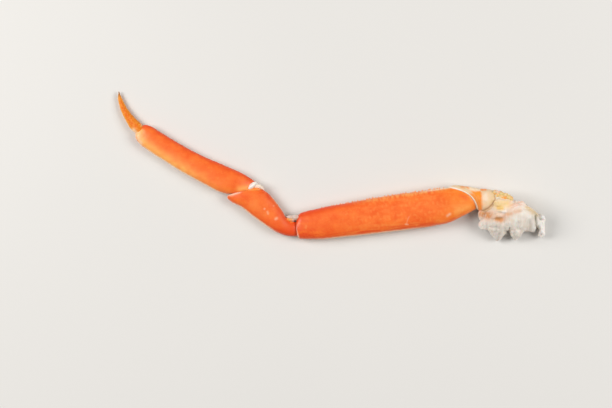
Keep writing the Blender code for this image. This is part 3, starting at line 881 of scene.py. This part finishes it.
WEB = [
    (33.8, 1.9, 4.8, 1.2, 3.0), (35.8, 2.8, 5.1, 2.0, 5.2), (37.8, 4.0, 5.1, 3.2, 6.6),
    (40.2, 5.3, 5.1, 4.6, 7.4), (42.6, 7.0, 5.0, 4.0, 6.4),
]
UNDER = [(34.4, 0.8, 4.8, 1.8, 5.0), (36.8, 1.7, 5.0, 2.6, 6.8), (39.8, 3.4, 5.0, 3.6, 7.2)]
web = lobe(WEB, ends=(0.3, 0.4), ridges=9, depth=0.12, seed=5, lumps=0.08)[0]
brown = spots(web, (0.35, [(37.6, 3.2)], 1.2), (0.8, [(40.8, 4.6), (42.4, 5.6)], 1.2))
skins = [skin(placed(web, elbow), brown=brown)]
under, t = lobe(UNDER, ends=(0.4, 0.2), seed=8, lumps=0.08)
skins.append(skin(placed(under, elbow), orange=0.95 * fade(-t, -0.95, -0.5), brown=0.5 * fade(t, 0.6, 0.9)))
piece("knee_skin", skins, joint_skin(), "knee_membrane")

# %% [markdown]
# ## The torn shoulder
# The leg was pulled off with a lump of the body's meat. Crab meat is soft bundles of fibre in clear
# skins, and they stick together. Lobes laid over each other look like separate sausages, so they are
# melted into one here: a voxel remesh cuts the volume that they fill into small cubes and draws one
# even skin round it. What tells the bundles apart then is relief and colour, worked out afterwards
# from where each point of the new skin is.

# %% Melt lobes into one
def melted(name, skins, voxel, rounds):
    """Fuses overlapping skins. The voxel is in mm, and each smoothing round moves a point half way to
    its neighbours' middle. Returns the new points, faces and outward directions, in mm."""
    rough = bpy.data.objects.new(name, joined(name, skins))
    bpy.context.scene.collection.objects.link(rough)
    even = rough.modifiers.new("even_skin", "REMESH")
    even.mode, even.voxel_size = "VOXEL", voxel * MM
    soft = rough.modifiers.new("soften", "SMOOTH")
    soft.factor, soft.iterations = 0.5, rounds
    mesh = bpy.data.meshes.new_from_object(rough.evaluated_get(bpy.context.evaluated_depsgraph_get()))
    points, out = np.empty((2, len(mesh.vertices), 3), np.float32)
    faces = np.empty((len(mesh.polygons), 4), np.int32)
    mesh.vertices.foreach_get("co", points.ravel())
    mesh.vertex_normals.foreach_get("vector", out.ravel())
    mesh.loops.foreach_get("vertex_index", faces.ravel())
    bpy.data.meshes.remove(mesh)
    bpy.data.meshes.remove(rough.data)  # which removes the rough object too
    return points.astype(float) / MM, [faces], out.astype(float)


# %% Lobes of meat
SHOULDER_RIBS = [
    COXA_RIBS[-1],
    (17.4, 5.6, 8.4, -12.6, 18.0, 0.0),
    (20.4, 4.3, 9.6, -16.6, 20.4, -0.2),
    (24.0, 2.6, 16.0, -20.4, 22.0, -0.4),
    (29.0, -1.0, 24.6, -21.4, 22.4, -0.4),
    (35.6, -3.6, 34.0, -21.6, 20.8, -0.3),
    (41.4, -7.4, 42.0, -21.2, 16.4, 0.0),
    (44.6, -11.0, 45.2, -19.0, 9.0, 1.6),
]
core, m = segment(
    SHOULDER_RIBS, around=160, step=0.35, first=BUTT, last=BUTT, neck=(0.15, 0.3),
    bulges=(3.7, 0.0), leans=(0.0, 0.3),
)
core = core - outward(core) * 0.4 * fade(m["first"], 0, 3)[..., None]
upside = core[:, 20:60].reshape(-1, 3)  # from 45 to 135 degrees round


def on_core(rows):
    """Rows (x, y, height, width, thickness), with the height counted from the top of the core."""
    rows = np.array(rows, float)
    nearest = np.linalg.norm(upside[None, :, :2] - rows[:, None, :2], axis=-1).argmin(1)
    rows[:, 2] += upside[nearest, 2]
    return rows


def flap(root, tip, width, thick, tip_share):
    """A hanging flap: width and thickness are times (1 - (1 - tip_share) t^1.6) sqrt(1 - 0.9 t^8)."""
    t = np.linspace(0, 1, 12)[:, None]
    share = (1 - (1 - tip_share) * t**1.6) * np.sqrt(1 - 0.9 * t**8)
    rows = np.hstack([np.array(root) + (np.array(tip) - np.array(root)) * t, width * share, thick * share])
    seed = int(10 * tip[0])
    return lobe(rows, around=56, rings=48, ends=(0.3, 0.02), ridges=9, depth=0.08, seed=seed, lumps=0.08)


FLAPS = [
    ((14.0, -13.0, 9.0), (7.2, -18.8, 5.0), 9.5, 12.0, 0.7),
    ((18.0, -13.5, 11.6), (18.2, -27.4, 2.6), 16.5, 13.0, 0.12),
    ((29.6, -14.5, 11.6), (30.1, -26.9, 2.8), 13.0, 13.0, 0.14),
    ((24.0, -15.0, 6.5), (23.7, -23.4, 4.4), 3.6, 6.0, 0.4),
    ((44.6, -12.0, 7.5), (47.2, -25.0, 3.2), 7.6, 9.0, 0.6),
    ((40.5, -13.4, 6.8), (49.0, -13.8, 5.2), 7.6, 10.0, 0.75),
]
JOINT_SKIN = [
    (8.2, -6.2, 6.8, 6.2, 9.0), (8.6, -9.0, 7.2, 6.8, 9.6), (9.2, -11.5, 7.0, 6.8, 9.6),
    (10.2, -14.2, 6.4, 6.0, 9.0),
]
LUMPS = [
    # smooth ones by the collar
    [(14.6, -3.4, -1.5, 4.0, 4.0), (18.4, -3.0, -1.3, 6.4, 5.0), (23.4, -3.4, -1.6, 4.4, 4.0)],
    [(15.0, -7.4, -1.6, 3.6, 4.0), (19.0, -7.8, -1.2, 3.6, 4.0), (23.6, -8.4, -1.6, 3.0, 4.0)],
    [(11.6, -10.8, -1.8, 5.0, 5.0), (16.6, -11.0, -1.5, 4.4, 5.0), (22.0, -11.6, -1.6, 3.6, 4.0)],
    # folds near the upper edge, and the wall at that edge
    [(26.4, -4.6, -0.9, 2.6, 3.0), (30.0, -2.4, -1.1, 2.4, 3.0), (35.4, -4.4, -1.1, 2.0, 3.0)],
    [(27.0, -6.8, -0.9, 2.4, 3.0), (31.0, -4.8, -0.8, 2.2, 3.0), (36.6, -6.6, -1.1, 2.0, 3.0)],
    [(28.4, -8.4, -1.0, 1.8, 2.6), (32.0, -7.0, -0.9, 1.8, 2.6), (36.8, -8.8, -1.2, 1.6, 2.6)],
    [(34.6, -4.2, -2.6, 1.8, 6.0), (39.0, -7.4, -2.4, 1.6, 6.0), (43.2, -10.6, -1.8, 1.4, 5.0)],
    # the far lobe
    [(44.2, -11.0, 0.8, 2.6, 4.0), (46.6, -11.8, 0.8, 3.4, 4.0), (48.0, -13.4, 0.4, 2.4, 4.0)],
    [(46.2, -15.4, 0.8, 2.6, 5.0), (46.8, -19.0, 0.2, 3.2, 5.0), (47.6, -23.2, 0.0, 2.6, 4.0)],
]
lobes = [core, *[flap(*given)[0] for given in FLAPS]]
lobes.append(lobe(JOINT_SKIN, around=64, rings=60, ridges=7, depth=0.06, seed=6, lumps=0.06)[0])
for k, rows in enumerate(LUMPS):
    lobes.append(lobe(on_core(rows), rings=40, ridges=6, depth=0.08, seed=50 + k, lumps=0.08)[0])
meat, faces, out = melted("meat_lobes", [skin(rings) for rings in lobes], voxel=0.3, rounds=3)
print("melted", len(lobes), "lobes into", len(meat), "points")

# %% [markdown]
# Cooked meat is white and moist, and light goes into it, so it has a subsurface weight. The fibres
# are drawn as noise that is seven times longer than wide, 0.7 mm across. Real fibres are finer than
# that and wouldn't show.


# %% Body meat
def body_meat():
    tree, shader, place, made = new_finish(
        "cooked_body_muscle", IOR=1.42, Metallic=0.0, Roughness=0.45, Subsurface_Weight=0.3,
        Subsurface_Scale=0.0014, Subsurface_Radius=(1.0, 0.6, 0.45),
    )
    lying = add(tree, "VectorMath", {0: place, 1: (1.0, 0.14, 0.14)}, operation="MULTIPLY").outputs[0]
    fibres = add(tree, "TexNoise", {"Vector": lying, "Scale": 1 / 0.0007, "Detail": 3.0, "Roughness": 0.6})
    clouds = add(tree, "TexNoise", {"Vector": place, "Scale": 1 / 0.004, "Detail": 4.0, "Roughness": 0.6})
    share = {"Value": fibres.outputs[0], "From Min": 0.5, "From Max": 0.72, "To Max": 0.35}
    streak = add(tree, "MapRange", share)
    hanging = add(tree, "Attribute", attribute_name="hanging").outputs["Fac"]
    shown = add(tree, "Math", {0: streak.outputs[0], 1: hanging}, operation="MULTIPLY")
    # white is the meat's own white, and on one lump a painted highlight
    colour = layered(tree, linear("#E8D7C1"), [
        (clouds.outputs[0], "#F5EEE6"), ("rosy", "#E8BFAA"), ("peach", "#DA9A62"),
        ("fatty", "#F3CB80"), ("clear", "#B9AEA2"), ("shade", "#857C60"), ("white", "#FBF6F2"),
        (shown.outputs[0], "#FBF5EF"),
    ])
    dress(tree, shader, colour, fibres, strength=0.6, height=0.0002)
    return made


# %% [markdown]
# The relief comes from where the points are. Fibres run down towards the fringe, so their noise is
# long that way and short across. The folds near the upper edge are arcs round one centre. A gap is
# cut beside the far lobe and a notch between the two long flaps, and a hollow is pressed in above
# the first of them.

# %% Relief of the meat
FOLD_GAP = 1.9  # mm
y, z = meat[:, 1], meat[:, 2]
hanging = fade(-y, 7, 13)  # 1 where the bundles hang down
fringe = fade(-y, 19.5, 23) + near(meat, [(5.5, -16), (8, -19)], 3)
stretched = meat * (1, 0.13, 0.13) + 0.12 * swell(meat, 5, 120)[:, None]
broad, bundles, fibres = swell(stretched, 4.2, 118), swell(stretched, 1.7, 121), swell(stretched, 0.55, 122)
radius = np.linalg.norm(meat[:, :2] - (32.5, -15.0), axis=1) + 0.3 * swell(meat, 4, 123)
arcs = np.cos(2 * np.pi * radius / FOLD_GAP)
gap = near(meat, [(41.4, -11.2), (42.2, -15.4), (43.6, -22.5)], 0.75) * fade(z, 1, 4)
notch = near(meat, [(24.6, -19.0), (24.8, -24.0)], 0.45)
hollow = near(meat, [(15.2, -13.0), (18.6, -14.0)], 1.3)
ragged = bell(z, 2.5, 3.5) * fade(-y, 19, 22)
height = 0.08 * swell(meat, 3.2, 124) + 0.03 * swell(meat, 1.1, 125)
height += hanging * (0.3 * broad * (1 - 0.9 * np.clip(fringe, 0, 1)) + 0.12 * bundles + 0.05 * fibres)
height += 0.22 * near(meat, [(27.5, -4.6), (31, -3.2), (36, -6.2)], 2.6) * arcs
height += 0.14 * ragged * swell(meat, 1.1, 126)
height -= 1.3 * gap + 1.0 * notch + 0.6 * hollow
print("relief in mm, from and to:", *np.round(np.percentile(height, [1, 99]), 2))

# %% [markdown]
# Colour goes on in patches: rosy and brownish skin near the collar and along the folds, yellow fat
# between, wet grey at the fringe, painted shade in the gaps and a painted highlight on one lump.
# Each patch is a spot round a short path, or follows the relief. Painting would do it too, but a
# path can be moved by changing one number.

# %% Tints of the meat
MEAT_SPOTS = {  # rows of (strength, path, width)
    "rosy": [(0.7, [(15.5, 5), (18, 4.4)], 1.6), (0.6, [(9, -10)], 3), (0.35, [(24, -7), (21, -11)], 3.5)],
    "peach": [
        (0.6, [(22.4, -9.8), (25, -9.6)], 1.3), (0.55, [(27.6, -8.4), (30.5, -7.6)], 1.3),
        (0.95, [(16.0, -13.2), (18.6, -14.0)], 1.6), (0.45, [(13, -10), (20, -12)], 3.4),
    ],
    "fatty": [
        (0.8, [(15.5, -3), (22.4, -3)], 3.0), (1, [(17.4, -6.0), (19.0, -6.2)], 1.4),
        (0.7, [(36, -5.8), (42.4, -10.4)], 1.7),
    ],
    "clear": [
        (0.35, [(17.6, -22), (16, -20)], 3), (0.25, [(8.5, -16.5)], 2.5),
        (0.35, [(36, -6.4), (43, -10.6)], 2.0),
    ],
    "shade": [(0.25, [(41.5, -12)], 2.5)],
    # white: first a painted highlight on a lump in the middle, then the far lobe's own white
    "white": [(0.6, [(20.0, -8.4), (21.4, -8.0)], 0.9), (0.6, [(46, -12), (47.6, -24)], 3)],
}
tints = {name: spots(meat, *rows) for name, rows in MEAT_SPOTS.items()}
tints["rosy"] += near(meat, [(26, -3.6), (31, -2.5)], 2.8) * (0.65 + 0.35 * arcs)
tints["peach"] += near(meat, [(6.8, -9.4), (10.4, -10.8)], 2.5) * fade(swell(meat, 2.2, 119), -3.2, 0.4)
wet = fade(0.5 * swell(meat, 1.5, 127) + near(meat, [(17.6, -24)], 5), -0.6, 1.2)
tints["clear"] += 0.8 * fade(-z, -7.5, -3.5) * wet + 0.35 * fade(-out[:, 2], 0.2, 0.8)
tints["shade"] += gap + 0.35 * notch
dry = 1 - near(meat, [(16, -13), (19, -14)], 3)
tints["white"] += 0.25 * hanging * np.clip(bundles, 0, 1) * dry
tints["hanging"] = 0.1 + 0.9 * fade(-y, 12, 17)
points = (meat + out * height[:, None]) @ hip[0] + hip[1]
points[:, 2] = np.maximum(points[:, 2], 0)
piece("shoulder_meat", [(points, faces, tints)], body_meat(), "shoulder")

# %% [markdown]
# Between the collar and the meat there are bits of yellow fat and roe. They are melted in the same
# way, with a finer relief.


# %% Crab fat
def crab_fat():
    tree, shader, place, made = new_finish(
        "crab_fat", IOR=1.45, Metallic=0.0, Roughness=0.36, Subsurface_Weight=0.25, Subsurface_Scale=0.001,
    )
    clouds = add(tree, "TexNoise", {"Vector": place, "Scale": 1 / 0.0018, "Detail": 4.0, "Roughness": 0.65})
    share = add(tree, "MapRange", {"Value": clouds.outputs[0], "From Min": 0.35, "From Max": 0.65})
    layers = [(share.outputs[0], "#F3DDA8"), ("orange", "#F79A2E"), ("rosy", "#E9C4B4")]
    colour = layered(tree, linear("#DDB25A"), layers)
    dress(tree, shader, colour, clouds, strength=0.6, height=0.0003)
    return made


BITS = [  # (x, y, height over the core, width)
    (16.2, 4.2, -1.2, 3.0), (18.2, 4.0, -1.1, 2.8), (19.8, 3.0, -1.3, 3.0), (21.8, 2.6, -1.3, 3.0),
    (23.8, 1.4, -1.4, 2.8), (25.4, 0.2, -1.3, 2.4), (15.4, 2.4, -1.4, 2.8), (17.6, 2.0, -1.3, 3.2),
    (20.0, 1.2, -1.4, 3.0), (22.4, 0.4, -1.5, 2.8), (15.4, 0.4, -1.5, 2.2),
]
bits = []
for k, (x, y, h, w) in enumerate(BITS):
    middle = (x, y, h + 0.1, w, 1.2 * w)
    row = [(x - 0.6 * w, y - 0.2, h, 0.9 * w, w), middle, (x + 0.6 * w, y, h, 0.9 * w, w)]
    bits.append(skin(lobe(on_core(row), around=24, rings=16, ends=(0.5, 0.5), seed=90 + k)[0]))
fat, faces, out = melted("fat_bits", bits, voxel=0.22, rounds=5)
grains = swell(fat, 1.3, 131)
roe = spots(fat, (0.9, [(20.4, 0.4), (21.6, 0.6)], 1.0), (0.5, [(15.2, 3.2)], 1.0))
tints = {
    "orange": np.clip(roe + 0.35 * fade(grains, 0.6, 1.5), 0, 1),
    "rosy": 0.9 * near(fat, [(16.4, 5.0), (17.8, 4.9)], 1.1),
}
fat = fat + out * (0.1 * grains + 0.05 * swell(fat, 0.7, 132))[:, None]
piece("shoulder_fat", [(fat @ hip[0] + hip[1], faces, tints)], crab_fat(), "shoulder")

# %% [markdown]
# ## Floor, light and camera
# The leg lies on a plain pale table. One big light overhead is the usual choice, but a flat top
# would mirror it and lose its colour. So two soft boxes stand at the sides, the left one a little
# stronger, which models the forms, and the sky is a dim even white.

# %% Floor
TABLE = 2.0  # metres from the middle to each side
low, high = [Vector(corner) for corner in cad_box]
floor_mesh = bpy.data.meshes.new("table_top")
corners = [(-TABLE, -TABLE, 0), (TABLE, -TABLE, 0), (TABLE, TABLE, 0), (-TABLE, TABLE, 0)]
floor_mesh.from_pydata(corners, [], [(0, 1, 2, 3)])
floor = bpy.data.objects.new("table_top", floor_mesh)
tree, shader, place, matt_table = new_finish("matt_white_table", Roughness=0.85)
drift = add(tree, "TexNoise", {"Vector": place, "Scale": 3.0, "Detail": 2.0})
white = layered(tree, linear("#DEDBD6"), [(drift.outputs[0], "#E4E1DC")])
tree.links.new(white, shader.inputs["Base Color"])
floor_mesh.materials.append(matt_table)
bpy.context.scene.collection.objects.link(floor)
print("table:", 2 * TABLE, "m square")


# %% Lights
def soft_light(name, place, size, watts):
    """A square light that looks at the frame's origin, near the middle of the leg."""
    lamp = bpy.data.lights.new(name, "AREA")
    lamp.size, lamp.energy = size, watts
    made = bpy.data.objects.new(name, lamp)
    made.location = place
    made.rotation_euler = (-Vector(place)).to_track_quat("-Z", "Y").to_euler()
    bpy.context.scene.collection.objects.link(made)
    print(f"{name}: {watts} W")


soft_light("left_box", (-0.95, 0.25, 0.9), size=0.7, watts=13.5)
soft_light("right_box", (0.95, 0.05, 0.9), size=0.7, watts=10.5)
world = bpy.context.scene.world or bpy.data.worlds.new("studio")
bpy.context.scene.world = world
world.use_nodes = True
sky = world.node_tree.nodes["Background"].inputs
sky["Color"].default_value = (1, 1, 1, 1)
sky["Strength"].default_value = 0.22
bpy.context.scene.view_settings.view_transform = "Standard"

# %% [markdown]
# The camera looks straight down, so that the leg's outline stays true. Close to, a lens would show
# the shoulder, which is thick, larger than the claw. From over a metre with a long lens it hardly does.

# %% Camera
# The view is VIEW_WIDTH wide at LEG_HEIGHT above the table. The leg lies a little right of the
# view's middle and above it. Sizes are in metres, but the lens and the sensor are in millimetres.
VIEW_WIDTH, LENS, SENSOR = 0.3978, 110.0, 36.0
LEG_RIGHT, LEG_ABOVE, LEG_HEIGHT = 0.0168, 0.0245, 0.006
middle = (low + high) / 2
camera_data = bpy.data.cameras.new("camera")
camera_data.lens = LENS
camera_data.sensor_width = SENSOR
camera = bpy.data.objects.new("camera", camera_data)
away = VIEW_WIDTH / SENSOR * LENS
camera.location = (middle.x - LEG_RIGHT, middle.y - LEG_ABOVE, LEG_HEIGHT + away)
bpy.context.scene.collection.objects.link(camera)
bpy.context.scene.camera = camera
print("camera is", round(away, 2), "m above the leg")
